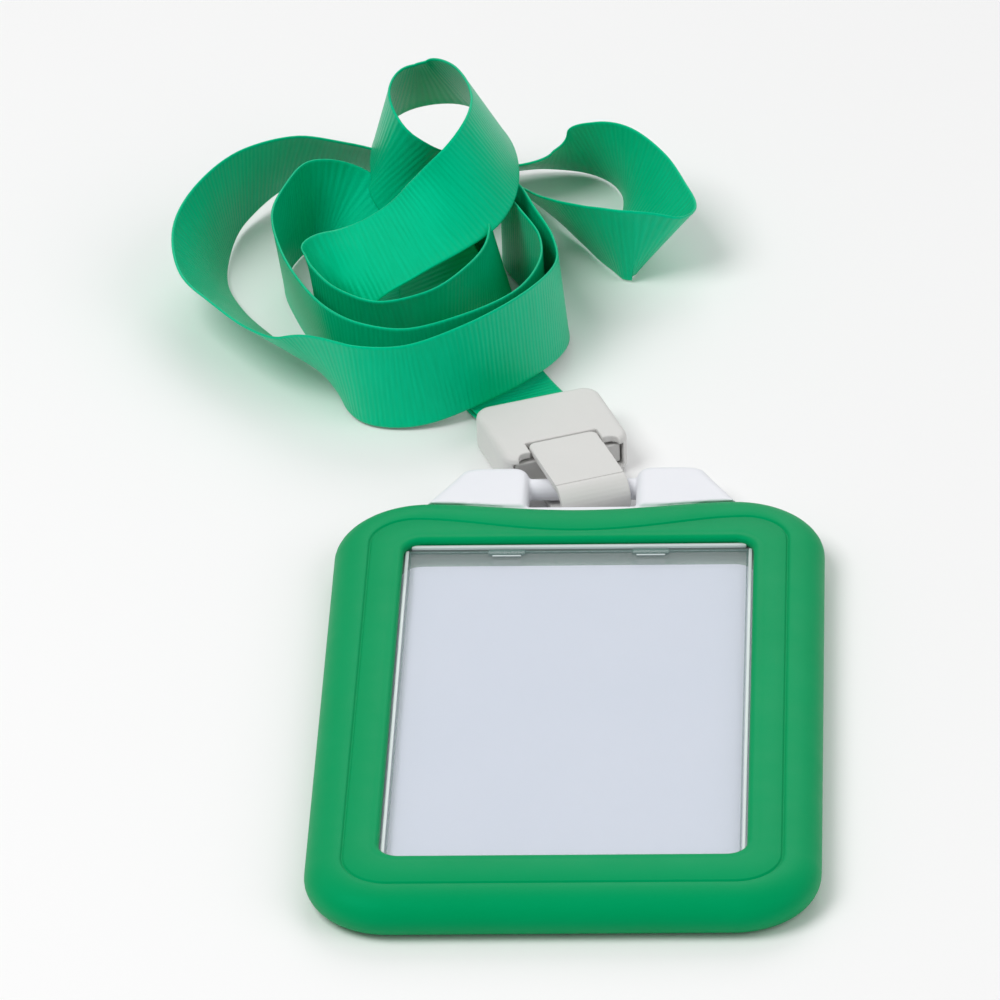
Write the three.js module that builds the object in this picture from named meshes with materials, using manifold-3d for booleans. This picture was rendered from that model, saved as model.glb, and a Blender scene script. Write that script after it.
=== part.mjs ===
// Lanyard badge holder: a clear two-piece card case in a soft frame, a hanger with a bar,
// a clip with a strap hook round the bar, and a ribbon whose two ends go into the clip.
// Millimetres, +Z up. Origin: centre of the flat back of the case. +Y runs towards the clip.
import * as THREE from 'three';
import { mergeVertices } from 'three/addons/utils/BufferGeometryUtils.js';
import Module from 'manifold-3d';

const wasm = await Module();
wasm.setup();

// ---- driving dimensions ----
const GAP = 0.3;                  // clearance between pieces that seat on each other
const CUT = 1;                    // how far a cutting body passes the surface it cuts
const LEAST_R = 0.3;              // smallest corner radius

const WINDOW_W = 53.4;            // card window in the soft frame
const WINDOW_H = 86;
const WINDOW_R = 3;
const SIDE_RIM = 10.8;            // window edge to outer edge, at the sides
const BOTTOM_RIM = 13;            // the same at the bottom
const TOP_RIM = 13.4;             // the same at the shoulders of the top edge
const TOP_DIP = 2;                // how far the top edge dips in its middle
const FRAME_T = 7;                // frame thickness, rounded all the way at its rim
const BOTTOM_R = 12.5;            // outer corner radii
const TOP_R = 14;
const BACK_LIP = 1.2;             // thickness of the frame's back lip
const FRONT_LIP = 1.3;            // and of its front lip
const WINDOW_EDGE = 0.6;          // soft edge round the window: how deep, and how wide
const WINDOW_SOFT = 1;
const GROOVE_W = 0.6;             // decorative groove round the rim
const GROOVE_DEPTH = 0.45;
const GROOVE_INSET = 5.6;         // from the outer edge at the sides and the bottom
const GROOVE_TOP_INSET = 7.2;
const GROOVE_DIP = 3.5;

const CASE_MARGIN = 4.6;          // the case reaches this far behind the lips
const CASE_R = 5;
const COVER_T = 0.8;              // front and back cover plates
const CASE_WALL = 1.0;
const BACK_WINDOW_MARGIN = 1;     // the back opening is this much wider than the front one
const RAIL_W = 2.2;               // rails that hold the card forward
const CARD_W = 54;
const CARD_H = 85.6;
const CARD_T = 0.8;
const CARD_R = 3.2;
const CARD_TUCK = 3.2;            // how far the card goes below the window's bottom edge
const TAB_W = 4.2;                // the cover's two card tabs
const TAB_L = 2;
const TAB_ROOM = 0.9;             // between them and the back cover
const TAB_X = 11;

const HANGER_W = 49.2;            // hanger plate and its two ears
const HANGER_T = 3.8;             // plate thickness
const HANGER_ROOT = 5.5;          // how far the plate goes into the frame
const RIDGE = 1.1;                // how far the plate stands out of the frame
const PLATE_R = 1.2;              // its corners and its soft edges
const PLATE_EDGE = 0.5;
const EAR_T = 5.4;
const EAR_TOP_W = 9.6;            // width of an ear at its far end
const EAR_L = 10.4;               // ear length beyond the plate
const EAR_SLANT = 3.2;            // an ear's outer flank, drawn in by this much
const EAR_WAIST = 4.7;            // and where, from its far end
const EAR_CORNER = 1.2;
const EAR_FOOT = 0.4;             // straight foot of the flank above the frame's edge
const EAR_R = 1.3;                // soft edges
const TRIM_INSET = 2;             // the body that trims the ears reaches this far past the groove
const LOOP_W = 16.6;              // bar length between the ears
const BAR_R = 1.7;
const BAR_GAP = 0.4;              // room between the bar and the strap round it
const BAR_REACH = 7.5;            // plate edge to the bar's middle

const SLEEVE_W = 20.4;            // clip sleeve
const SLEEVE_L = 17.5;
const SLEEVE_T = 6.4;
const SLEEVE_R = 2.8;
const SLEEVE_EDGE = 1;
const SLEEVE_WALL = 1.2;
const CLIP_Z = 0.2;               // underside of the clip above the surface
const CLIP_YAW = 21;              // degrees, as the clip lies
const CLIP_SHIFT = 0.4;           // strap middle along the bar
const STRAP_W = 11.2;
const STRAP_T = 1.1;
const STRAP_TAB_R = 1.2;          // corners and soft edges of its tab
const STRAP_TAB_EDGE = 0.25;
const STRAP_PLAY = 0.23;          // room in the strap's bend for the bar when the clip lies askew
const SLEEVE_TO_BAR = 7.3;        // sleeve's front face to the bar's middle
const TAB_SEAT = 4;               // how far the strap's end goes into the sleeve's notch
const MOUTH_SWOOP = 1.5;          // the sleeve's upper edge is cut back this much between its sides
const CORE_SETBACK = 1.2;         // core's front behind the sleeve's
const CORE_L = 13.5;

const RIBBON_W = 15;
const RIBBON_T = 0.5;
const RIBBON_GRIP = 7;            // ribbon held inside the sleeve
const RIBBON_LEAVES = [[2, 0.45], [5, 1.9]];   // beyond the sleeve: how far, and how much lower

const MERGE = 1e-4;               // corners closer than this are one
const CURVE_STEPS = 6;
const EDGE_STEPS = 3;
const BAR_STEPS = 20;
const BEND_STEPS = 28;

const PLASTIC_WHITE = { color: 0xe9ebf1, roughness: 0.45, metalness: 0 };
const PLASTIC_IVORY = { color: 0xd9d9d6, roughness: 0.5, metalness: 0 };
const SILICONE = { color: 0x009e60, roughness: 0.6, metalness: 0 };
const CLEAR = { color: 0xdfeaf0, roughness: 0.08, metalness: 0 };
const CARD = { color: 0xcdd2e4, roughness: 0.7, metalness: 0 };
const SATIN = { color: 0x00a468, roughness: 0.4, metalness: 0 };

// ---- solids and booleans ----
function solid(geometry) {
  const bare = geometry.clone();
  bare.deleteAttribute('normal');
  bare.deleteAttribute('uv');
  const merged = mergeVertices(bare, MERGE);
  return new wasm.Manifold(new wasm.Mesh({
    numProp: 3,
    vertProperties: new Float32Array(merged.attributes.position.array),
    triVerts: new Uint32Array(merged.index.array),
  }));
}

function geometryOf(manifold) {
  const mesh = manifold.getMesh();
  const geometry = new THREE.BufferGeometry();
  geometry.setAttribute('position', new THREE.BufferAttribute(new Float32Array(mesh.vertProperties), 3));
  geometry.setIndex(new THREE.BufferAttribute(new Uint32Array(mesh.triVerts), 1));
  geometry.computeVertexNormals();
  return geometry;
}

function part(name, shape, look) {
  const geometry = shape instanceof THREE.BufferGeometry ? shape : geometryOf(shape);
  const mesh = new THREE.Mesh(geometry, new THREE.MeshStandardMaterial(look));
  mesh.name = name;
  return mesh;
}

// Box from its lowest to its highest corner.
function block(x0, y0, z0, x1, y1, z1) {
  const box = new THREE.BoxGeometry(x1 - x0, y1 - y0, z1 - z0);
  return solid(box.translate((x0 + x1) / 2, (y0 + y1) / 2, (z0 + z1) / 2));
}

// Rounded plate lying in XY, centred on (0, y), with soft edges of radius `edge`.
function plate(width, height, radius, y, z0, z1, edge = 0) {
  const w = width / 2 - edge;
  const h = height / 2 - edge;
  const r = Math.max(radius - edge, LEAST_R);
  const shape = new THREE.Shape();
  shape.moveTo(w, h - r);
  shape.absarc(w - r, h - r, r, 0, Math.PI / 2, false);
  shape.absarc(-w + r, h - r, r, Math.PI / 2, Math.PI, false);
  shape.absarc(-w + r, -h + r, r, Math.PI, 1.5 * Math.PI, false);
  shape.absarc(w - r, -h + r, r, 1.5 * Math.PI, 2 * Math.PI, false);
  const extruded = new THREE.ExtrudeGeometry(shape, {
    depth: z1 - z0 - 2 * edge,
    curveSegments: CURVE_STEPS,
    bevelEnabled: edge > 0,
    bevelThickness: edge,
    bevelSize: edge,
    bevelSegments: EDGE_STEPS,
  });
  return solid(extruded.translate(0, y, z0 + edge));
}

// ---- closed outlines that share one count of points, so that rings can be joined ----
const CORNER_STEPS = 7;
const TOP_STEPS = 12;

function outline({ half, bottom, top, bottomR, topR, dip }) {
  const points = [];
  const arc = (cx, cy, r, start) => {
    for (let i = 0; i <= CORNER_STEPS; i += 1) {
      const a = start + (i / CORNER_STEPS) * Math.PI / 2;
      points.push([cx + r * Math.cos(a), cy + r * Math.sin(a)]);
    }
  };
  arc(half - topR, top - topR, topR, 0);
  const reach = half - topR;
  for (let i = 1; i < TOP_STEPS; i += 1) {
    const x = reach * (1 - 2 * i / TOP_STEPS);
    points.push([x, top - dip * (1 - (x / reach) ** 2) ** 2]);
  }
  arc(-half + topR, top - topR, topR, Math.PI / 2);
  arc(-half + bottomR, bottom + bottomR, bottomR, Math.PI);
  arc(half - bottomR, bottom + bottomR, bottomR, 1.5 * Math.PI);
  return points;
}

function inset(shape, d) {
  return {
    half: shape.half - d,
    bottom: shape.bottom + d,
    top: shape.top - d,
    bottomR: Math.max(shape.bottomR - d, LEAST_R),
    topR: Math.max(shape.topR - d, LEAST_R),
    dip: shape.dip,
  };
}

// Joins rings [outline, z] into a closed ring-shaped body; the last joins the first.
function ringBody(rings) {
  const loops = rings.map(([shape, z]) => outline(shape).map(([x, y]) => [x, y, z]));
  const count = loops[0].length;
  const index = [];
  loops.forEach((_, r) => {
    const next = (r + 1) % loops.length;
    for (let i = 0; i < count; i += 1) {
      const j = (i + 1) % count;
      const [a, b, c, d] = [r * count + i, r * count + j, next * count + j, next * count + i];
      index.push(a, b, c, a, c, d);
    }
  });
  const geometry = new THREE.BufferGeometry();
  geometry.setAttribute('position', new THREE.Float32BufferAttribute(loops.flat(2), 3));
  geometry.setIndex(index);
  return geometry;
}

// ---- places worked out from the dimensions ----
const WINDOW = {
  half: WINDOW_W / 2, bottom: -WINDOW_H / 2, top: WINDOW_H / 2,
  bottomR: WINDOW_R, topR: WINDOW_R, dip: 0,
};
const OUTER = {
  half: WINDOW.half + SIDE_RIM, bottom: WINDOW.bottom - BOTTOM_RIM, top: WINDOW.top + TOP_RIM,
  bottomR: BOTTOM_R, topR: TOP_R, dip: TOP_DIP,
};
const GROOVE = {
  half: OUTER.half - GROOVE_INSET, bottom: OUTER.bottom + GROOVE_INSET,
  top: OUTER.top - GROOVE_TOP_INSET, bottomR: BOTTOM_R - GROOVE_INSET,
  topR: TOP_R - GROOVE_TOP_INSET, dip: GROOVE_DIP,
};
const CASE = inset({ ...WINDOW, bottomR: CASE_R - CASE_MARGIN, topR: CASE_R - CASE_MARGIN }, -CASE_MARGIN);
const BACK_WINDOW = inset(WINDOW, -BACK_WINDOW_MARGIN);
const CASE_TOP_Z = FRAME_T - FRONT_LIP - GAP;
const CASE_BOTTOM_Z = BACK_LIP + GAP;
const EDGE_Y = OUTER.top - TOP_DIP;               // frame's top edge in its middle
const PLATE_Y = EDGE_Y + RIDGE;                   // hanger plate's outer edge
const BAR_Y = PLATE_Y + BAR_REACH;
const BEND_R = Math.max(SLEEVE_T / 2, BAR_R + BAR_GAP + STRAP_T);   // the strap's bend, outside
const BAR_Z = CLIP_Z + BEND_R;
const YAW = THREE.MathUtils.degToRad(CLIP_YAW);
const ASKEW = (STRAP_W / 2) * Math.tan(YAW) + BAR_R / Math.cos(YAW);   // the bar's reach in the bend
const STRAP_SLACK = ASKEW + STRAP_PLAY + STRAP_T;   // bar's middle to the outside of the bend
const SLEEVE_Y = SLEEVE_L / 2 + SLEEVE_TO_BAR;    // sleeve's middle, seen from the bar
const SLEEVE_LOW = BAR_Z - SLEEVE_T / 2;
const SLEEVE_TOP = BAR_Z + SLEEVE_T / 2;
const STRAP_TOP = BAR_Z + BEND_R;
const HINGE_Y = -(STRAP_SLACK - BEND_R);          // where the strap's bend ends, from the bar

// ---- holder ----
function softFrame(hanger) {
  const r = FRAME_T / 2;
  const rings = [
    [WINDOW, FRAME_T - FRONT_LIP],
    [WINDOW, FRAME_T - WINDOW_EDGE],
    [inset(WINDOW, -WINDOW_SOFT / 3), FRAME_T - WINDOW_EDGE / 3],
    [inset(WINDOW, -WINDOW_SOFT), FRAME_T],
    [inset(GROOVE, GROOVE_W / 2), FRAME_T],
    [GROOVE, FRAME_T - GROOVE_DEPTH],
    [inset(GROOVE, -GROOVE_W / 2), FRAME_T],
  ];
  for (let deg = 0; deg <= 180; deg += 30) {
    const a = THREE.MathUtils.degToRad(deg);
    rings.push([inset(OUTER, r * (1 - Math.sin(a))), r + r * Math.cos(a)]);
  }
  rings.push([BACK_WINDOW, 0], [BACK_WINDOW, BACK_LIP]);
  rings.push([inset(CASE, -GAP), BACK_LIP], [inset(CASE, -GAP), FRAME_T - FRONT_LIP]);
  return part('silicone_frame', solid(ringBody(rings.reverse())).subtract(hangerSeat()), SILICONE);
}

function hangerSeat() {
  const z0 = BAR_Z - HANGER_T / 2 - GAP;
  const z1 = BAR_Z + HANGER_T / 2 + GAP;
  const half = HANGER_W / 2 + GAP;
  return block(-half, EDGE_Y - HANGER_ROOT - GAP, z0, half, OUTER.top + BAR_REACH, z1);
}

function frontCover() {
  const width = 2 * CASE.half;
  const height = CASE.top - CASE.bottom;
  const wallZ = CASE_BOTTOM_Z + COVER_T + GAP;
  const tray = plate(width, height, CASE_R, 0, wallZ, CASE_TOP_Z)
    .subtract(plate(width - 2 * CASE_WALL, height - 2 * CASE_WALL, CASE_R - CASE_WALL, 0,
      wallZ - CUT, CASE_TOP_Z - COVER_T));
  const tabTop = WINDOW.top - GAP;
  const tab = (x) => block(x - TAB_W / 2, tabTop - TAB_L, CASE_BOTTOM_Z + COVER_T + TAB_ROOM,
    x + TAB_W / 2, tabTop, CASE_TOP_Z - COVER_T / 2);
  return part('front_cover', tray.add(tab(-TAB_X)).add(tab(TAB_X)), CLEAR);
}

function backCover() {
  const width = 2 * CASE.half;
  const height = CASE.top - CASE.bottom;
  const flange = plate(width, height, CASE_R, 0, CASE_BOTTOM_Z, CASE_BOTTOM_Z + COVER_T);
  const panel = plate(2 * (BACK_WINDOW.half - GAP), 2 * (BACK_WINDOW.top - GAP),
    BACK_WINDOW.topR - GAP, 0, 0, CASE_BOTTOM_Z + COVER_T / 2);
  const railZ = CASE_TOP_Z - COVER_T - CARD_T - 2 * GAP;
  const rail = (x0, x1) => block(x0, -CARD_H / 3, CASE_BOTTOM_Z + COVER_T / 2, x1, CARD_H / 3, railZ);
  const rails = rail(-CARD_W / 2, -CARD_W / 2 + RAIL_W).add(rail(CARD_W / 2 - RAIL_W, CARD_W / 2));
  return part('back_cover', flange.add(panel).add(rails), CLEAR);
}

function insertCard() {
  const top = CASE_TOP_Z - COVER_T - GAP;
  const y = WINDOW.bottom - CARD_TUCK + CARD_H / 2;
  return part('insert_card', plate(CARD_W, CARD_H, CARD_R, y, top - CARD_T, top), CARD);
}

// One ear of the hanger: a rounded lug with a slanted outer flank, on the side `side`.
function ear(side) {
  const inner = LOOP_W / 2 + EAR_R;
  const far = PLATE_Y + EAR_L - EAR_R;
  const tip = inner + EAR_TOP_W - 2 * EAR_R;
  const root = HANGER_W / 2 - EAR_R;
  const shape = new THREE.Shape();
  shape.moveTo(inner, EDGE_Y - CUT);
  shape.lineTo(root, EDGE_Y - CUT);
  shape.lineTo(root, EDGE_Y + EAR_FOOT);
  shape.quadraticCurveTo(tip + EAR_SLANT, far - EAR_WAIST, tip + EAR_CORNER, far - EAR_CORNER / 2);
  shape.quadraticCurveTo(tip + EAR_CORNER / 3, far, tip - EAR_CORNER, far);
  shape.lineTo(inner + EAR_CORNER, far);
  shape.quadraticCurveTo(inner, far, inner, far - EAR_CORNER);
  const geometry = new THREE.ExtrudeGeometry(shape, {
    depth: EAR_T - 2 * EAR_R,
    curveSegments: CURVE_STEPS,
    bevelEnabled: true,
    bevelThickness: EAR_R,
    bevelSize: EAR_R,
    bevelSegments: EDGE_STEPS,
  });
  geometry.translate(0, 0, BAR_Z - EAR_T / 2 + EAR_R);
  const lug = solid(geometry);
  return side > 0 ? lug : lug.mirror([1, 0, 0]);
}

function hanger() {
  const z0 = BAR_Z - HANGER_T / 2;
  const z1 = BAR_Z + HANGER_T / 2;
  const depth = HANGER_ROOT + RIDGE;
  const base = plate(HANGER_W, depth, PLATE_R, PLATE_Y - depth / 2, z0, z1, PLATE_EDGE);
  const bar = new THREE.CylinderGeometry(BAR_R, BAR_R, LOOP_W + 2 * EAR_R, BAR_STEPS);
  bar.rotateZ(Math.PI / 2).translate(0, BAR_Y, BAR_Z);
  const outside = block(-HANGER_W, EDGE_Y + GAP, -CUT, HANGER_W, BAR_Y + EAR_L, FRAME_T + CUT);
  const ears = ear(1).add(ear(-1)).intersect(outside.subtract(frameEdge()));
  return part('hanger', base.add(ears).add(solid(bar)), PLASTIC_WHITE);
}

// The frame's body grown by the clearance, which trims the ears to its curved top edge.
function frameEdge() {
  const grown = inset(OUTER, -GAP);
  const r = FRAME_T / 2 + GAP;
  const loops = [];
  for (let deg = 15; deg <= 165; deg += 30) {
    const a = THREE.MathUtils.degToRad(deg);
    loops.push([inset(grown, r * (1 - Math.sin(a))), r - GAP + r * Math.cos(a)]);
  }
  const inner = inset(GROOVE, TRIM_INSET);
  loops.push([inner, -GAP], [inner, FRAME_T + GAP]);
  return solid(ringBody(loops.reverse()));
}

// ---- clip, in its own frame: the bar's middle at the origin, +Y towards the ribbon ----
function clipSleeve() {
  const body = plate(SLEEVE_W, SLEEVE_L, SLEEVE_R, SLEEVE_Y, SLEEVE_LOW, SLEEVE_TOP, SLEEVE_EDGE);
  const half = SLEEVE_W / 2 - SLEEVE_WALL;
  const front = SLEEVE_TO_BAR;
  const back = SLEEVE_TO_BAR + SLEEVE_L;
  const mouth = block(-half, front - CUT, SLEEVE_LOW + SLEEVE_WALL,
    half, back - SLEEVE_WALL, SLEEVE_TOP - SLEEVE_WALL);
  const slot = block(-RIBBON_W / 2 - GAP, back - 2 * SLEEVE_WALL, BAR_Z - SLEEVE_WALL,
    RIBBON_W / 2 + GAP, back + CUT, BAR_Z + SLEEVE_WALL);
  const seat = STRAP_W / 2 + GAP;
  const notch = block(-seat, front - CUT, SLEEVE_LOW - CUT, seat, front + TAB_SEAT + GAP, SLEEVE_TOP + CUT);
  const swoop = plate(2 * half - MOUTH_SWOOP, 2 * MOUTH_SWOOP, MOUTH_SWOOP, front,
    BAR_Z, SLEEVE_TOP + CUT);
  const whole = body.subtract(mouth).subtract(slot).subtract(notch).subtract(swoop);
  return part('clip_sleeve', whole, PLASTIC_IVORY);
}

function strapBend() {
  const r = BEND_R;
  const ring = (radius, w) => {
    const turned = new THREE.CylinderGeometry(radius, radius, w, BEND_STEPS);
    return solid(turned.rotateZ(Math.PI / 2).translate(0, HINGE_Y, BAR_Z));
  };
  const half = block(-STRAP_W, HINGE_Y - 2 * r, CLIP_Z - CUT, STRAP_W, HINGE_Y, STRAP_TOP + CUT);
  return ring(r, STRAP_W).subtract(ring(r - STRAP_T, STRAP_W + CUT)).intersect(half);
}

function hookBody() {
  const coreFront = SLEEVE_TO_BAR + CORE_SETBACK;
  const back = coreFront + CORE_L;
  const half = SLEEVE_W / 2 - SLEEVE_WALL - GAP;
  const core = block(-half, coreFront, SLEEVE_LOW + SLEEVE_WALL + GAP,
    half, back, SLEEVE_TOP - SLEEVE_WALL - GAP);
  const throat = block(-RIBBON_W / 2 - GAP, back - RIBBON_GRIP - 2 * GAP, BAR_Z - SLEEVE_WALL,
    RIBBON_W / 2 + GAP, back + CUT, BAR_Z + SLEEVE_WALL);
  const gateSeat = block(-STRAP_W, coreFront - CUT, STRAP_TOP - STRAP_T - 2 * GAP,
    STRAP_W, SLEEVE_TO_BAR + TAB_SEAT + GAP, STRAP_TOP);
  const legEnd = coreFront + STRAP_T;
  const leg = block(-STRAP_W / 2, HINGE_Y - GAP / 3, CLIP_Z, STRAP_W / 2, legEnd, CLIP_Z + STRAP_T);
  const root = block(-STRAP_W / 2, coreFront, CLIP_Z, STRAP_W / 2, legEnd, BAR_Z);
  const whole = core.subtract(throat).subtract(gateSeat).add(leg).add(root).add(strapBend());
  return part('hook_body', whole, PLASTIC_IVORY);
}

function hookGate() {
  const z0 = STRAP_TOP - STRAP_T;
  const leaf = block(-STRAP_W / 2, HINGE_Y + GAP, z0, STRAP_W / 2, SLEEVE_TO_BAR, STRAP_TOP);
  const tip = plate(STRAP_W, 2 * TAB_SEAT, STRAP_TAB_R, SLEEVE_TO_BAR, z0, STRAP_TOP, STRAP_TAB_EDGE);
  return part('hook_gate', leaf.add(tip), PLASTIC_IVORY);
}

// ---- ribbon ----
// Middle of the ribbon and its roll in degrees: 0 stands on edge, + leans its upper edge to
// the right of travel, and 90 or -90 lies flat. Both ends are in the clip.
const ROUTE = [
  [-13.6, 97, 0.55, 90], [-17.5, 107, 0.5, 90], [-23, 119, 0.5, 90], [-30, 131, 0.8, 88],
  [-36, 140, 3.2, 72], [-41, 146, 6, 42], [-46, 145.6, 7.5, 12], [-49.4, 139, 7.9, 3],
  [-50.8, 130, 7.9, 6], [-48.7, 119.6, 7.9, 10], [-44.8, 109, 7.9, 12], [-40.3, 99.9, 7.9, 9],
  [-35.4, 94.6, 7.9, 4], [-28, 92.2, 8, 1], [-19, 94.6, 9.2, 0], [-11.2, 101.6, 9.2, -2],
  [-7.6, 112.5, 8.4, -3], [-8.4, 121.5, 7.9, 0], [-11.8, 130, 7.9, 0], [-14.8, 137, 7.9, 0],
  [-15, 140.5, 7.9, 0], [-12.6, 138.5, 7.9, 0], [-9.3, 130, 7.9, 0], [-5.8, 121, 7.9, 3],
  [-4.6, 111.5, 8.6, 6], [-8.8, 100, 10, 6], [-18, 90.4, 9.8, 3], [-27.5, 86.7, 8.2, 0],
  [-35, 87.6, 7.8, -5], [-40.4, 92.2, 7.5, -17], [-44.8, 98, 6.4, -40], [-50, 103.8, 6, -47],
  [-56, 111.3, 6.2, -47], [-61, 119.5, 6.2, -46], [-63.5, 129.5, 7, -34], [-62, 140, 7.9, -16],
  [-57.5, 150, 8.7, 6], [-50, 156, 9.6, 28], [-41, 158, 8.6, 40], [-30, 158.6, 6.8, 50],
  [-20, 159.2, 5.8, 56], [-13, 160.6, 5.6, 57], [-8.4, 162.4, 5.9, 50], [-3.4, 163.2, 6.6, 34],
  [1, 160.6, 7.4, 18], [4.8, 155.8, 7.8, -6], [7.8, 149.4, 7, -28], [10, 142.4, 6.3, -38],
  [11.4, 136.4, 6, -42], [10.3, 132.6, 6.6, -33], [7.2, 130.8, 7.6, -14], [4, 131.2, 7.7, -12],
  [0.9, 133.4, 7.5, -20], [-2.4, 136.9, 7, -28], [-5.4, 140.8, 6.7, -35], [-9.8, 146.6, 6.8, -42],
  [-13.8, 151.4, 6.6, -52], [-19, 152.4, 6.6, -46], [-24, 148.2, 8.4, -24],
  [-28.8, 142.8, 12.4, 0], [-33, 144, 16.6, 10], [-35, 150.4, 19.3, 14], [-33.5, 156.8, 20.5, 22],
  [-29.6, 160.2, 21.2, 32], [-24.6, 159.8, 22, 35], [-20.3, 155, 22.8, 30], [-17.2, 148, 23.1, 29],
  [-15.9, 140.5, 23, 29], [-16.6, 133, 22.6, 34], [-19.6, 127.2, 20.6, 42], [-25, 123.2, 17.6, 60],
  [-31.4, 120.8, 14, 68], [-38, 119, 11, 58], [-43, 117.2, 9, 20], [-43.8, 112, 8.3, 4],
  [-39.4, 105.8, 8.1, 8], [-32.6, 102.2, 8.1, 12], [-25.5, 102.8, 9.4, 10], [-19.5, 108.8, 9.8, 2],
  [-15.6, 118, 9, -8], [-15.2, 127, 8.7, -13], [-18, 133, 9, -8], [-22, 134.6, 9.2, 0],
  [-25, 130.5, 8.4, -35], [-23.8, 122, 4, -72], [-19.5, 112, 1.5, -87], [-15.3, 101.5, 1.25, -90],
];
const STEPS = 3;

// A point on the clip's middle line, `along` from the bar.
function clipPoint(along, z) {
  return [CLIP_SHIFT - Math.sin(YAW) * along, BAR_Y + Math.cos(YAW) * along, z];
}

function ribbonStations() {
  const held = SLEEVE_TO_BAR + CORE_SETBACK + CORE_L - RIBBON_GRIP;
  const mouth = SLEEVE_TO_BAR + SLEEVE_L;
  const low = BAR_Z - RIBBON_T / 2 - GAP / 3;
  const high = BAR_Z + RIBBON_T / 2 + GAP / 3;
  const layer = (z, roll) => [[...clipPoint(held, z), roll], [...clipPoint(mouth, z), roll],
    ...RIBBON_LEAVES.map(([along, drop]) => [...clipPoint(mouth + along, z - drop), roll])];
  return [...layer(low, 90), ...ROUTE, ...layer(high, -90).reverse()];
}

// Centripetal Catmull-Rom through stations [x, y, z, roll], STEPS samples to a stretch.
function smooth(stations) {
  const mirror = (a, b) => a.map((v, i) => 2 * v - b[i]);
  const n = stations.length;
  const p = [mirror(stations[0], stations[1]), ...stations, mirror(stations[n - 1], stations[n - 2])];
  const knot = (a, b) => Math.sqrt(Math.hypot(a[0] - b[0], a[1] - b[1], a[2] - b[2]));
  const mix = (a, b, ta, tb, t) => a.map((v, i) => ((tb - t) * v + (t - ta) * b[i]) / (tb - ta));
  const samples = [];
  for (let i = 1; i < n; i += 1) {
    const [a, b, c, d] = p.slice(i - 1, i + 3);
    const t1 = knot(a, b);
    const t2 = t1 + knot(b, c);
    const t3 = t2 + knot(c, d);
    for (let k = 0; k < STEPS; k += 1) {
      const t = t1 + (t2 - t1) * k / STEPS;
      const ab = mix(a, b, 0, t1, t);
      const bc = mix(b, c, t1, t2, t);
      const cd = mix(c, d, t2, t3, t);
      samples.push(mix(mix(ab, bc, 0, t2, t), mix(bc, cd, t1, t3, t), t1, t2, t));
    }
  }
  samples.push(stations[n - 1]);
  return samples;
}

function ribbon() {
  const samples = smooth(ribbonStations());
  const middle = samples.map((s) => new THREE.Vector3(s[0], s[1], s[2]));
  const up = new THREE.Vector3(0, 0, 1);
  const corners = [];
  middle.forEach((point, i) => {
    const before = middle[Math.max(i - 1, 0)];
    const after = middle[Math.min(i + 1, middle.length - 1)];
    const along = after.clone().sub(before).normalize();
    const upright = up.clone().addScaledVector(along, -up.dot(along)).normalize();
    const sideways = along.clone().cross(upright);
    const roll = THREE.MathUtils.degToRad(samples[i][3]);
    const across = upright.multiplyScalar(Math.cos(roll)).addScaledVector(sideways, Math.sin(roll));
    const face = along.clone().cross(across);
    for (const [a, b] of [[-1, -1], [1, -1], [1, 1], [-1, 1]]) {
      const corner = point.clone().addScaledVector(across, a * RIBBON_W / 2);
      corners.push(corner.addScaledVector(face, b * RIBBON_T / 2));
    }
  });
  const index = [];
  const last = 4 * (middle.length - 1);
  for (let i = 0; i < last; i += 4) {
    for (let k = 0; k < 4; k += 1) {
      const j = (k + 1) % 4;
      index.push(i + k, i + j, i + 4 + j, i + k, i + 4 + j, i + 4 + k);
    }
  }
  index.push(0, 2, 1, 0, 3, 2, last, last + 1, last + 2, last, last + 2, last + 3);
  const geometry = new THREE.BufferGeometry().setFromPoints(corners);
  geometry.setIndex(index);
  return part('ribbon', geometry, SATIN);
}

// ---- assembly ----
const group = new THREE.Group();
group.add(softFrame(), frontCover(), backCover(), insertCard(), hanger());

const clip = new THREE.Group();
clip.add(clipSleeve(), hookBody(), hookGate());
clip.rotation.z = YAW;
clip.position.set(CLIP_SHIFT, BAR_Y, 0);
group.add(clip, ribbon());

export default group;
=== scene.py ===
"""Looks of a lanyard badge holder: a clear card case in a soft green frame, a white hanger, a
clip with a strap hook, and a satin neck ribbon that lies loosely gathered behind it."""
import math
import bpy
import numpy as np
from mathutils import Matrix, Vector


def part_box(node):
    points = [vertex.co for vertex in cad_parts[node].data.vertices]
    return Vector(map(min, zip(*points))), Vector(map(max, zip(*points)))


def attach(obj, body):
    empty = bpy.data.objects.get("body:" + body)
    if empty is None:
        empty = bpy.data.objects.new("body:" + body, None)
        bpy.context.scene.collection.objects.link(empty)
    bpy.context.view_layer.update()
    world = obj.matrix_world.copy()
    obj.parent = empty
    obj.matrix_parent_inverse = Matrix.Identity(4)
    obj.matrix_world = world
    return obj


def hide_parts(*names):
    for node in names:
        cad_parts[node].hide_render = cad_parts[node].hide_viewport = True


MM = 0.001

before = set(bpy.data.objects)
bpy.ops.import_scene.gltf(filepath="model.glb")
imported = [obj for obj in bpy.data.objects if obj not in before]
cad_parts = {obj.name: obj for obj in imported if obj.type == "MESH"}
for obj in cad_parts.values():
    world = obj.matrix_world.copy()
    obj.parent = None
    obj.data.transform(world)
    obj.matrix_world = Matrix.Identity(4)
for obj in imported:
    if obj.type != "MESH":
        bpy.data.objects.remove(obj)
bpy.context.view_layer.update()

# ---- camera ----
CAMERA_TARGET = Vector((-13.1, 65.6, 0)) * MM
CAMERA_DISTANCE = 1.388
CAMERA_ELEVATION = math.radians(31.6)
CAMERA_YAW = math.radians(3.2)
CAMERA_ROLL = math.radians(-2.18)
SENSOR_MM = 36
LENS_MM = 321.7


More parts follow.
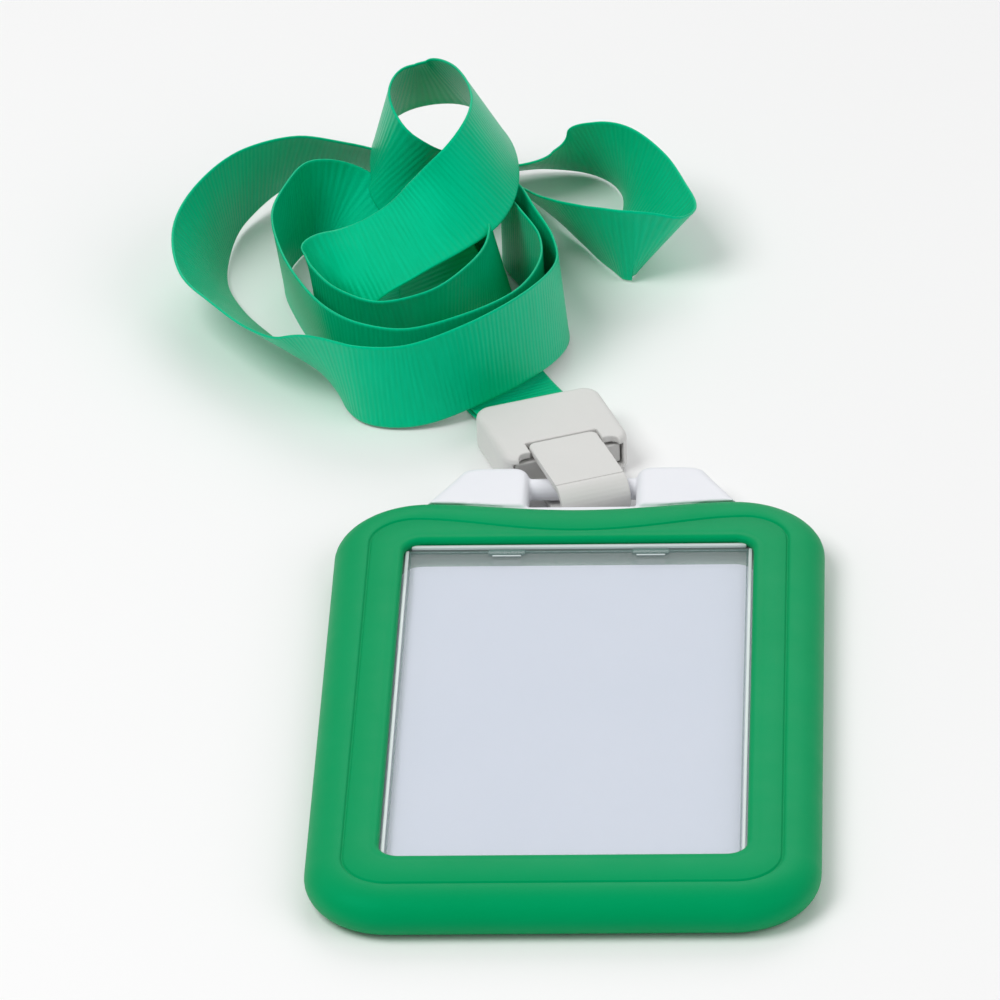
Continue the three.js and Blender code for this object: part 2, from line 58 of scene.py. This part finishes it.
def add_camera():
    data = bpy.data.cameras.new("camera")
    data.sensor_width = SENSOR_MM
    data.lens = LENS_MM
    back = Vector((math.sin(CAMERA_YAW) * math.cos(CAMERA_ELEVATION),
                   -math.cos(CAMERA_YAW) * math.cos(CAMERA_ELEVATION),
                   math.sin(CAMERA_ELEVATION)))
    level = (-back).cross(Vector((0, 0, 1))).normalized()
    above = level.cross(-back)
    right = math.cos(CAMERA_ROLL) * level + math.sin(CAMERA_ROLL) * above
    up = math.cos(CAMERA_ROLL) * above - math.sin(CAMERA_ROLL) * level
    turn = Matrix((right, up, back)).transposed().to_4x4()
    camera = bpy.data.objects.new("camera", data)
    camera.matrix_world = Matrix.Translation(CAMERA_TARGET + back * CAMERA_DISTANCE) @ turn
    bpy.context.scene.collection.objects.link(camera)
    bpy.context.scene.camera = camera


# ---- places shared with the CAD, in millimetres ----
BAR_Y = 63.0            # the hanger's bar, which the clip's strap goes round
BAR_Z = 3.4
CLIP_YAW = math.radians(21)
CLIP_SHIFT = 0.4
CASE_TOP_Z = 5.4        # top of the clear front cover
CATCH_X = 11            # its two card catches, from the middle


# ---- node materials ----
class Nodes:
    """A material with a Principled shader, and short ways to add and link its nodes."""

    def __init__(self, name, color, roughness, **sockets):
        self.material = bpy.data.materials.new(name)
        self.material.use_nodes = True
        self.tree = self.material.node_tree
        self.shader = next(n for n in self.tree.nodes if n.type == "BSDF_PRINCIPLED")
        self.set("Base Color", (*color, 1))
        self.set("Roughness", roughness)
        for socket, value in sockets.items():
            self.set(socket.replace("_", " "), value)

    def set(self, socket, value):
        self.shader.inputs[socket].default_value = value

    def add(self, kind, inputs=(), **settings):
        node = self.tree.nodes.new(kind)
        for key, value in settings.items():
            setattr(node, key, value)
        for key, value in dict(inputs).items():
            if isinstance(value, bpy.types.NodeSocket):
                self.tree.links.new(value, node.inputs[key])
            else:
                node.inputs[key].default_value = value
        return node

    def math(self, operation, a, b=0.0):
        return self.add("ShaderNodeMath", {0: a, 1: b}, operation=operation).outputs[0]

    def noise(self, place, scale, detail=3.0, roughness=0.5):
        inputs = {"Vector": place, "Scale": scale, "Detail": detail, "Roughness": roughness}
        return self.add("ShaderNodeTexNoise", inputs).outputs["Fac"]

    def place(self):
        return self.add("ShaderNodeTexCoord").outputs["Object"]

    def spread(self, value, low, high):
        """Maps 0..1 to low..high."""
        inputs = {"Value": value, "To Min": low, "To Max": high}
        return self.add("ShaderNodeMapRange", inputs).outputs[0]

    def tint(self, factor, dark, light):
        inputs = {0: factor, 6: (*dark, 1), 7: (*light, 1)}
        mix = self.add("ShaderNodeMix", inputs, data_type="RGBA")
        self.link(mix.outputs[2], "Base Color")

    def bump(self, height, distance, strength=1.0):
        inputs = {"Height": height, "Distance": distance, "Strength": strength}
        self.link(self.add("ShaderNodeBump", inputs).outputs["Normal"], "Normal")

    def link(self, output, socket):
        self.tree.links.new(output, self.shader.inputs[socket])


RIB_PITCH = 0.85 * MM
PICK_PITCH = 0.27 * MM
SELVEDGE = 0.6 * MM
RIBBON_WIDTH = 15 * MM


def satin():
    """Cross ribs along the length, a fine weave between them, and plain selvedges; the ribs and
    weave also darken the colour in their hollows, painted shade.
    """
    m = Nodes("satin", (0.0, 0.5, 0.24), 0.4, Anisotropic=0.35)
    m.set("Specular IOR Level", 0.6)
    m.set("Specular Tint", (0.0, 1.0, 0.62, 1))
    uv = m.add("ShaderNodeUVMap", uv_map="cloth").outputs["UV"]
    split = m.add("ShaderNodeSeparateXYZ", {0: uv})
    across, along = split.outputs[0], split.outputs[1]
    wobble = m.spread(m.noise(uv, 90.0), -RIB_PITCH / 3, RIB_PITCH / 3)
    turn = 2 * math.pi
    place = m.math("ADD", along, wobble)
    rib = m.math("SINE", m.math("MULTIPLY", place, turn / RIB_PITCH))
    pick = m.math("SINE", m.math("MULTIPLY", place, turn / PICK_PITCH))
    warp = m.math("SINE", m.math("MULTIPLY", across, turn / PICK_PITCH))
    weave = m.math("MULTIPLY", pick, warp)
    drawn_out = m.add("ShaderNodeMapping", {"Vector": uv, "Scale": (1.0, 14.0, 1.0)}).outputs[0]
    streaks = m.noise(drawn_out, 160.0, 4.0)
    edge = m.math("SUBTRACT", RIBBON_WIDTH / 2, m.math("ABSOLUTE", across))
    inside = m.add("ShaderNodeMapRange", {"Value": edge, "From Max": SELVEDGE}).outputs[0]
    deep = m.math("MULTIPLY", m.math("ADD", rib, m.math("MULTIPLY", weave, 0.5)), inside)
    m.bump(m.math("ADD", deep, m.math("MULTIPLY", streaks, 1.2)), 0.03 * MM, 0.7)
    # Painted shade: the rib and weave relief also tints the colour, lighter on the crests and
    # darker in the hollows.
    shade = m.math("ADD", m.math("MULTIPLY", deep, 0.09), streaks)
    m.tint(shade, (0.0, 0.43, 0.19), (0.0, 0.58, 0.295))
    m.link(m.spread(streaks, 0.3, 0.46), "Roughness")
    return m.material


def silicone():
    """Satin rubber: a fine matt grain and faint handling marks."""
    m = Nodes("silicone", (0.0, 0.31, 0.1), 0.5)
    m.set("Specular IOR Level", 0.25)
    m.set("Specular Tint", (0.0, 0.9, 0.55, 1))
    m.set("Subsurface Weight", 0.04)
    m.set("Subsurface Radius", (0.2 * MM, 2 * MM, 1 * MM))
    place = m.place()
    grain = m.noise(place, 5200.0, 2.0)
    patches = m.noise(place, 55.0, 3.0)
    m.tint(patches, (0.0, 0.30, 0.095), (0.0, 0.33, 0.11))
    m.link(m.spread(m.noise(place, 240.0, 4.0), 0.44, 0.58), "Roughness")
    m.bump(grain, 0.02 * MM, 0.5)
    return m.material


def clear_plastic(name, alpha, color=(0.74, 0.89, 0.88)):
    """Clear moulded plastic with faint flow lines and hairline scratches in its gloss."""
    m = Nodes(name, color, 0.08, Coat_Weight=0.3, Coat_Roughness=0.03, Alpha=alpha)
    m.set("Specular IOR Level", 0.6)
    place = m.place()
    stretched = m.add("ShaderNodeMapping", {"Vector": place, "Scale": (1.0, 0.06, 1.0)}).outputs[0]
    m.link(m.spread(m.noise(stretched, 900.0, 3.0), 0.05, 0.13), "Roughness")
    m.bump(m.noise(place, 45.0, 2.0), 0.05 * MM, 0.25)
    return m.material


def card_paper():
    """Smooth lavender-white card with the faintest fibre mottling."""
    m = Nodes("card_paper", (0.62, 0.64, 0.76), 0.55)
    place = m.place()
    m.tint(m.noise(place, 38.0, 5.0, 0.6), (0.62, 0.615, 0.75), (0.68, 0.66, 0.785))
    m.bump(m.noise(place, 2600.0, 3.0), 0.012 * MM, 0.4)
    return m.material


def moulded(name, dark, light, roughness):
    """Moulded plastic: spark-eroded grain and slight colour drift."""
    m = Nodes(name, light, roughness)
    m.set("Subsurface Weight", 0.08)
    m.set("Subsurface Radius", (1 * MM, 1 * MM, 1 * MM))
    place = m.place()
    m.tint(m.noise(place, 70.0, 3.0), dark, light)
    m.link(m.spread(m.noise(place, 500.0, 3.0), roughness - 0.06, roughness + 0.08), "Roughness")
    m.bump(m.noise(place, 4200.0, 2.0), 0.02 * MM, 0.45)
    return m.material


# ---- mesh helpers ----
def add_mesh(name, points, faces, material):
    mesh = bpy.data.meshes.new(name)
    mesh.from_pydata([tuple(p) for p in points], [], faces)
    mesh.update()
    mesh.polygons.foreach_set("use_smooth", [True] * len(mesh.polygons))
    piece = bpy.data.objects.new(name, mesh)
    bpy.context.scene.collection.objects.link(piece)
    mesh.materials.append(material)
    return piece


def apply_modifiers(piece):
    shape = piece.evaluated_get(bpy.context.evaluated_depsgraph_get())
    mesh = bpy.data.meshes.new_from_object(shape)
    piece.modifiers.clear()
    piece.data = mesh
    mesh.polygons.foreach_set("use_smooth", [True] * len(mesh.polygons))


def softened(name, node, body, material, slot, voxel, passes, move=None):
    """A copy of a CAD node with moulded, slightly rounded edges."""
    piece = bpy.data.objects.new(name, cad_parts[node].data.copy())
    if move:
        for vertex in piece.data.vertices:
            vertex.co = move(vertex.co)
    bpy.context.scene.collection.objects.link(piece)
    piece.data.materials.clear()
    piece.data.materials.append(material)
    remesh = piece.modifiers.new("remesh", "REMESH")
    remesh.mode = "VOXEL"
    remesh.voxel_size = voxel
    smooth = piece.modifiers.new("smooth", "SMOOTH")
    smooth.factor = 0.5
    smooth.iterations = passes
    apply_modifiers(piece)
    finish_piece(piece, node, body)


def finish_piece(piece, node, body):
    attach(piece, body)
    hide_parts(node)


FOOT_GAP = 0.32 * MM                        # CAD clearance under the hanger's feet
FOOT_LOW, FOOT_HIGH = 54.2 * MM, 57.4 * MM  # where the feet are, along y
HINGE_GAP = 0.26 * MM                       # CAD clearance between the gate and the bend


def seat_feet(place):
    """Brings the hanger's feet down onto the soft frame's edge."""
    return place - Vector((0, FOOT_GAP, 0)) if FOOT_LOW < place.y < FOOT_HIGH else place


def close_hinge(place):
    """Brings the gate's hinged end up to the strap's bend, for a thin line instead of a gap."""
    along = Vector((-math.sin(CLIP_YAW), math.cos(CLIP_YAW), 0))
    near = (place - Vector((CLIP_SHIFT, BAR_Y, BAR_Z)) * MM).dot(along) < 0
    return place - along * HINGE_GAP if near else place


# ---- ribbon ----
MOUTH = 24.8            # bar to the sleeve's back face, in the clip's direction
HELD = 15.0             # bar to the ribbon's ends inside the sleeve
LAYER = 0.35            # each of the two ribbon layers lies this far from the clip's middle
RIBBON_THICK = 0.42
# Middle of the ribbon in millimetres, and its roll in degrees: 0 stands on edge, + leans its
# upper edge to the right of travel, and 90 or -90 lies flat.
ROUTE = [
    (-13.6, 97, 0.55, 90), (-17.5, 107, 0.5, 90), (-23, 119, 0.5, 90), (-30, 131, 0.8, 88),
    (-36, 140, 3.2, 72), (-41, 146, 6, 42), (-46, 145.6, 7.5, 12), (-49.4, 139, 7.9, 3),
    (-50.8, 130, 7.9, 6), (-48.7, 119.6, 7.9, 10), (-44.8, 109, 7.9, 12), (-40.3, 99.9, 7.9, 9),
    (-35.4, 94.6, 7.9, 4), (-28, 92.2, 8, 1), (-19, 94.6, 9.2, 0), (-11.2, 101.6, 9.2, -2),
    (-7.6, 112.5, 8.4, -3), (-8.4, 121.5, 7.9, 0), (-11.8, 130, 7.9, 0), (-14.8, 137, 7.9, 0),
    (-15, 140.5, 7.9, 0), (-12.6, 138.5, 7.9, 0), (-9.3, 130, 7.9, 0), (-5.8, 121, 7.9, 3),
    (-4.6, 111.5, 8.6, 6), (-8.8, 100, 10, 6), (-18, 90.4, 9.8, 3), (-27.5, 86.7, 8.2, 0),
    (-35, 87.6, 7.8, -5), (-40.4, 92.2, 7.5, -17), (-44.8, 98, 6.4, -40), (-50, 103.8, 6, -47),
    (-56, 111.3, 6.2, -47), (-61, 119.5, 6.2, -46), (-63.5, 129.5, 7, -34), (-62, 140, 7.9, -16),
    (-57.5, 150, 8.7, 6), (-50, 156, 9.6, 28), (-41, 158, 8.6, 40), (-30, 158.6, 6.8, 50),
    (-20, 159.2, 5.8, 56), (-13, 160.6, 5.6, 57), (-8.4, 162.4, 5.9, 50), (-3.4, 163.2, 6.6, 34),
    (1, 160.6, 7.4, 18), (4.8, 155.8, 7.8, -6), (7.8, 149.4, 7, -28), (10, 142.4, 6.3, -38),
    (11.4, 136.4, 6, -42), (10.3, 132.6, 6.6, -33), (7.2, 130.8, 7.6, -14), (4, 131.2, 7.7, -12),
    (0.9, 133.4, 7.5, -20), (-2.4, 136.9, 7, -28), (-5.4, 140.8, 6.7, -35),
    (-9.8, 146.6, 6.8, -42), (-13.8, 151.4, 6.6, -52), (-19, 152.4, 6.6, -46),
    (-24, 148.2, 8.4, -24), (-28.8, 142.8, 12.4, 0), (-33, 144, 16.6, 10), (-35, 150.4, 19.3, 14),
    (-33.5, 156.8, 20.5, 22), (-29.6, 160.2, 21.2, 32), (-24.6, 159.8, 22, 35),
    (-20.3, 155, 22.8, 30), (-17.2, 148, 23.1, 29), (-15.9, 140.5, 23, 29), (-16.6, 133, 22.6, 34),
    (-19.6, 127.2, 20.6, 42), (-25, 123.2, 17.6, 60), (-31.4, 120.8, 14, 68), (-38, 119, 11, 58),
    (-43, 117.2, 9, 20), (-43.8, 112, 8.3, 4), (-39.4, 105.8, 8.1, 8), (-32.6, 102.2, 8.1, 12),
    (-25.5, 102.8, 9.4, 10), (-19.5, 108.8, 9.8, 2), (-15.6, 118, 9, -8), (-15.2, 127, 8.7, -13),
    (-18, 133, 9, -8), (-22, 134.6, 9.2, 0), (-25, 130.5, 8.4, -35), (-23.8, 122, 4, -72),
    (-19.5, 112, 1.5, -87), (-15.3, 101.5, 1.25, -90),
]
STEPS = 8
EDGE_THICK = 0.05
BEAD = [(0.12, 0.9), (0.45, 1.0), (0.75, 0.78)]     # from the edge: how far, and share of thickness
FLAT_SHARES = (0.66, 0.33, 0.0)
LEAVES = ((2, 0.45), (5, 1.9))                      # beyond the sleeve: how far, how much lower


def clip_point(along, z):
    """A point on the clip's middle line, `along` mm from the bar."""
    return (CLIP_SHIFT - math.sin(CLIP_YAW) * along, BAR_Y + math.cos(CLIP_YAW) * along, z)


def ribbon_stations():
    def layer(z, roll):
        beyond = [(*clip_point(MOUTH + along, z - drop), roll) for along, drop in LEAVES]
        return [(*clip_point(HELD, z), roll), (*clip_point(MOUTH, z), roll), *beyond]

    return np.array(layer(BAR_Z - LAYER, 90) + ROUTE + layer(BAR_Z + LAYER, -90)[::-1], float)


def smooth(stations):
    """Centripetal Catmull-Rom through the stations."""
    p = np.vstack([2 * stations[0] - stations[1], stations, 2 * stations[-1] - stations[-2]])
    samples = []
    for i in range(1, len(stations)):
        a, b, c, d = p[i - 1:i + 3]
        t1 = math.sqrt(np.linalg.norm(b[:3] - a[:3]))
        t2 = t1 + math.sqrt(np.linalg.norm(c[:3] - b[:3]))
        t3 = t2 + math.sqrt(np.linalg.norm(d[:3] - c[:3]))
        for t in np.linspace(t1, t2, STEPS, endpoint=False):
            ab = ((t1 - t) * a + t * b) / t1
            bc = ((t2 - t) * b + (t - t1) * c) / (t2 - t1)
            cd = ((t3 - t) * c + (t - t2) * d) / (t3 - t2)
            left = ((t2 - t) * ab + t * bc) / t2
            right = ((t3 - t) * bc + (t - t1) * cd) / (t3 - t1)
            samples.append(((t2 - t) * left + (t - t1) * right) / (t2 - t1))
    return np.array([*samples, stations[-1]])


def ribbon_section():
    """Half of the section: (across, half thickness) in millimetres, edge to edge."""
    half = RIBBON_WIDTH / MM / 2
    bead = RIBBON_THICK / 2
    rim = [(half, EDGE_THICK)] + [(half - inward, bead * share) for inward, share in BEAD]
    middle = [(half * k, rim[-1][1]) for k in FLAT_SHARES]
    side = rim + middle
    return side + [(-x, t) for x, t in reversed(side[:-1])]


def add_ribbon():
    samples = smooth(ribbon_stations())
    centre = samples[:, :3]
    tangent = np.gradient(centre, axis=0)
    tangent /= np.linalg.norm(tangent, axis=1)[:, None]
    upright = np.array([0, 0, 1.0]) - tangent * tangent[:, 2:3]
    upright /= np.linalg.norm(upright, axis=1)[:, None]
    sideways = np.cross(tangent, upright)
    roll = np.radians(samples[:, 3])[:, None]
    across = np.cos(roll) * upright + np.sin(roll) * sideways
    face = np.cross(tangent, across)
    half_section = ribbon_section()
    section = half_section + [(x, -t) for x, t in reversed(half_section)]
    points = [(c + w * x + n * t) * MM
              for c, w, n in zip(centre, across, face) for x, t in section]
    count, rings = len(section), len(centre)
    faces = [(r * count + i, r * count + (i + 1) % count,
              (r + 1) * count + (i + 1) % count, (r + 1) * count + i)
             for r in range(rings - 1) for i in range(count)]
    faces += [tuple(range(count))[::-1], tuple(range((rings - 1) * count, rings * count))]
    ribbon = add_mesh("satin_ribbon", points, faces, satin())
    lengths = np.concatenate([[0], np.cumsum(np.linalg.norm(np.diff(centre, axis=0), axis=1))])
    uv = ribbon.data.uv_layers.new(name="cloth")
    for loop in ribbon.data.loops:
        ring, i = divmod(loop.vertex_index, count)
        uv.data[loop.index].uv = (section[i][0] * MM, lengths[ring] * MM)
    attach(ribbon, "clip")
    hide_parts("ribbon")


# ---- soft frame ----
WINDOW_HALF = 26.7
WINDOW_END = 43.0
WINDOW_R = 3.0
BACK_WINDOW_MARGIN = 1.0
BACK_LIP = 1.2
FRONT_LIP = 1.3
CHANNEL = 4.9
BOTTOM_R = 12.5
TOP_R = 14.0
TOP_DIP = 2.0
GROOVE_DIP = 3.5
WINDOW_EDGE = 0.75      # the window's soft edge: how deep, and how wide
WINDOW_SOFT = 0.9
CROWN = 0.12            # the inner band sinks by this much beside the window
CROWN_W = 2.8
INNER_BAND = (1.3, 1.7, 2.1)
BACK_EDGE = ((0.5, 0.0), (0.15, 0.12), (0.0, 0.45))
GROOVE_LIP = 0.05
GROOVE_SHARES = (-1, -0.72, -0.4, 0, 0.4, 0.72, 1)
GROOVE_W = 0.34
GROOVE_DEPTH = 0.3
RIM_ROLL = 5.0
GROOVE_INSET = 5.6
GROOVE_TOP_INSET = 7.2
MIN_R = 0.3
CORNER_STEPS = 18
TOP_STEPS = 48


def outline(half, bottom, top, bottom_r, top_r, dip):
    """Closed outline of the frame's shape, always with the same count of points."""
    def arc(cx, cy, r, start):
        turns = [math.radians(start + 90 * i / CORNER_STEPS) for i in range(CORNER_STEPS + 1)]
        return [(cx + r * math.cos(t), cy + r * math.sin(t)) for t in turns]

    reach = half - top_r
    xs = [reach * (1 - 2 * i / TOP_STEPS) for i in range(1, TOP_STEPS)]
    edge = [(x, top - dip * (1 - (x / reach) ** 2) ** 2) for x in xs]
    return (arc(half - top_r, top - top_r, top_r, 0) + edge
            + arc(-half + top_r, top - top_r, top_r, 90)
            + arc(-half + bottom_r, bottom + bottom_r, bottom_r, 180)
            + arc(half - bottom_r, bottom + bottom_r, bottom_r, 270))


def inset(shape, d):
    """The outline moved inwards by d, its corners kept at least MIN_R."""
    half, bottom, top, bottom_r, top_r, dip = shape
    return (half - d, bottom + d, top - d, max(bottom_r - d, MIN_R), max(top_r - d, MIN_R), dip)


def add_soft_frame():
    low, high = (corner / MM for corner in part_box("silicone_frame"))
    thick = high.z - low.z
    outer = (high.x, low.y, high.y, BOTTOM_R, TOP_R, TOP_DIP)
    groove = (outer[0] - GROOVE_INSET, outer[1] + GROOVE_INSET, outer[2] - GROOVE_TOP_INSET,
              BOTTOM_R - GROOVE_INSET, TOP_R - GROOVE_TOP_INSET, GROOVE_DIP)
    window = (WINDOW_HALF, -WINDOW_END, WINDOW_END, WINDOW_R, WINDOW_R, 0)
    channel = inset(window, -CHANNEL)
    profile = [(window, thick - FRONT_LIP), (window, thick - WINDOW_EDGE)]
    for deg in range(15, 91, 15):
        a = math.radians(deg)
        profile.append((inset(window, -WINDOW_SOFT * (1 - math.cos(a))),
                        thick - WINDOW_EDGE + WINDOW_EDGE * math.sin(a)))
    for d in INNER_BAND:
        rise = math.sin(math.pi * (d - WINDOW_SOFT) / CROWN_W)
        profile.append((inset(window, -d), thick + CROWN * rise - CROWN))
    for share in GROOVE_SHARES:
        depth = GROOVE_DEPTH * (0.5 + 0.5 * math.cos(math.pi * share))
        profile.append((inset(groove, -share * GROOVE_W), thick - GROOVE_LIP - depth))
    r = thick / 2
    for deg in range(0, 181, 9):
        a = math.radians(deg)
        reach = RIM_ROLL if deg < 90 else r
        profile.append((inset(outer, reach * (1 - math.sin(a))), r + r * math.cos(a)))
    back = inset(window, -BACK_WINDOW_MARGIN)
    profile += [(inset(back, -outward), z) for outward, z in BACK_EDGE]
    profile += [(back, BACK_LIP), (channel, BACK_LIP), (channel, thick - FRONT_LIP)]
    points = [(x * MM, y * MM, z * MM) for shape, z in profile for x, y in outline(*shape)]
    count, rings = len(outline(*window)), len(profile)
    faces = [(r0 * count + i, ((r0 + 1) % rings) * count + i,
              ((r0 + 1) % rings) * count + (i + 1) % count, r0 * count + (i + 1) % count)
             for r0 in range(rings) for i in range(count)]
    piece = add_mesh("soft_frame", points, faces, silicone())
    finish_piece(piece, "silicone_frame", "holder")


# ---- mouldings of the case in the window's upper end, with painted highlights and painted shade ----
# Low corner, high corner and height. A catch's and a side's x are from its own middle.
# The edge and side beads are small ridges drawn pale and nearly opaque: painted highlights.
EDGE_HIGHLIGHT_BEAD = ((-25.6, 42.2), (25.6, 42.9), 0.6)
# The step lines are thin dark bars beside the ridges: painted shade lines.
STEP_SHADE_LINE = ((-26.2, 41.3), (26.2, 41.6), 0.16)
# The catches are tinted dark teal: painted shade on the clear tabs.
CATCH = ((-2.8, 40.7), (2.8, 42.1), 0.26)
# A short pale bar under each catch: a painted highlight line.
CATCH_HIGHLIGHT = ((-2.2, 40.3), (2.2, 40.55), 0.2)
SIDE_HIGHLIGHT_BEAD = ((-0.28, -41.5), (0.28, 41.6), 0.4)
SIDE_SHADE_STEP = ((-0.09, -41.8), (0.09, 41.2), 0.1)
SIDE_X = 26.2
SIDE_STEP_INSET = 0.5
BAR_EDGES = {"bead": 0.2, "plain": 0.12, "highlight_bar": 0.1, "line": 0.06, "thin": 0.04}


def add_bar(name, shape, material, edge, x=0.0):
    """A small rounded bar on the front cover, its shape moved by `x` along the window's width."""
    (x0, y0), (x1, y1), height = shape
    xs, ys, zs = (x + x0, x + x1), (y0, y1), (CASE_TOP_Z, CASE_TOP_Z + height)
    points = [Vector((px, py, pz)) * MM for pz in zs for py in ys for px in xs]
    faces = [(0, 2, 3, 1), (4, 5, 7, 6), (0, 1, 5, 4), (2, 6, 7, 3), (0, 4, 6, 2), (1, 3, 7, 5)]
    piece = add_mesh(name, points, faces, material)
    bevel = piece.modifiers.new("bevel", "BEVEL")
    bevel.width = BAR_EDGES[edge] * MM
    bevel.segments = 4
    apply_modifiers(piece)
    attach(piece, "holder")


def add_case_mouldings_and_painted_light():
    # Pale, nearly opaque clear plastic: painted highlight on the ridges and under the catches.
    painted_highlight = clear_plastic("clear_painted_highlight", 0.72, (0.84, 0.93, 0.92))
    # Dark teal clear plastic: painted shade on the catches.
    deep = clear_plastic("clear_catch_painted_shade", 0.5, (0.22, 0.34, 0.32))
    # Dark clear plastic for the step lines: painted shade.
    line = clear_plastic("clear_painted_shade_line", 0.5, (0.2, 0.33, 0.31))
    add_bar("edge_highlight_bead", EDGE_HIGHLIGHT_BEAD, painted_highlight, "bead")
    add_bar("step_shade_line", STEP_SHADE_LINE, line, "line")
    for side in (-1, 1):
        edge = side * SIDE_X
        add_bar(f"catch_{side}", CATCH, deep, "plain", side * CATCH_X)
        add_bar(f"catch_highlight_{side}", CATCH_HIGHLIGHT, painted_highlight, "highlight_bar", side * CATCH_X)
        add_bar(f"side_highlight_bead_{side}", SIDE_HIGHLIGHT_BEAD, painted_highlight, "plain", edge)
        add_bar(f"side_shade_step_{side}", SIDE_SHADE_STEP, line, "thin", edge - side * SIDE_STEP_INSET)


# ---- surroundings ----
FLOOR_HALF = 3.0
WORLD_STRENGTH = 0.4
LIGHTS = [("key", (-0.55, -0.25, 0.95), 0.6, 6.5), ("fill", (0.8, -0.35, 0.7), 0.8, 2.6),
          ("back", (0.1, 1.0, 0.8), 0.7, 3.0)]      # name, place, size, power


def add_floor():
    size = FLOOR_HALF
    m = Nodes("floor", (0.93, 0.93, 0.93), 0.9)
    m.tint(m.noise(m.place(), 6.0), (0.925, 0.925, 0.925), (0.94, 0.94, 0.94))
    m.bump(m.noise(m.place(), 700.0), 0.02 * MM, 0.2)
    corners = [(-size, -size, 0), (size, -size, 0), (size, size, 0), (-size, size, 0)]
    floor = add_mesh("floor", corners, [(0, 1, 2, 3)], m.material)


def add_light(name, place, size, power):
    data = bpy.data.lights.new(name, "AREA")
    data.shape = "SQUARE"
    data.size = size
    data.energy = power
    light = bpy.data.objects.new(name, data)
    light.location = place
    aim = CAMERA_TARGET - Vector(place)
    light.rotation_euler = aim.to_track_quat("-Z", "Y").to_euler()
    bpy.context.scene.collection.objects.link(light)


def add_studio():
    add_floor()
    for light in LIGHTS:
        add_light(*light)
    world = bpy.data.worlds.new("studio")
    bpy.context.scene.world = world
    world.use_nodes = True
    background = next(n for n in world.node_tree.nodes if n.type == "BACKGROUND")
    background.inputs["Color"].default_value = (1.0, 1.0, 1.0, 1.0)
    background.inputs["Strength"].default_value = WORLD_STRENGTH


# ---- making ----
MOULD = {"hanger": (0.22 * MM, 10), "clip": (0.13 * MM, 5), "gate": (0.11 * MM, 4)}  # voxel, passes
COVER_ALPHA = {"front_cover": 0.16, "back_cover": 0.3}

bpy.context.scene.view_settings.view_transform = "Standard"
add_camera()
add_ribbon()
add_soft_frame()
add_case_mouldings_and_painted_light()

white = moulded("white_plastic", (0.80, 0.81, 0.86), (0.84, 0.85, 0.89), 0.45)
ivory = moulded("ivory_plastic", (0.66, 0.655, 0.64), (0.70, 0.695, 0.675), 0.5)
softened("hanger_moulding", "hanger", "holder", white, "white_plastic", *MOULD["hanger"],
         seat_feet)
softened("sleeve_moulding", "clip_sleeve", "clip", ivory, "ivory_plastic", *MOULD["clip"])
softened("hook_moulding", "hook_body", "clip", ivory, "ivory_plastic", *MOULD["clip"])
softened("gate_moulding", "hook_gate", "gate", ivory, "ivory_plastic", *MOULD["gate"],
         close_hinge)

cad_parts["insert_card"].data.materials.clear()
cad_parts["insert_card"].data.materials.append(card_paper())
for node, alpha in COVER_ALPHA.items():
    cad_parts[node].data.materials.clear()
    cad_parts[node].data.materials.append(clear_plastic(f"clear_{node}", alpha))

add_studio()
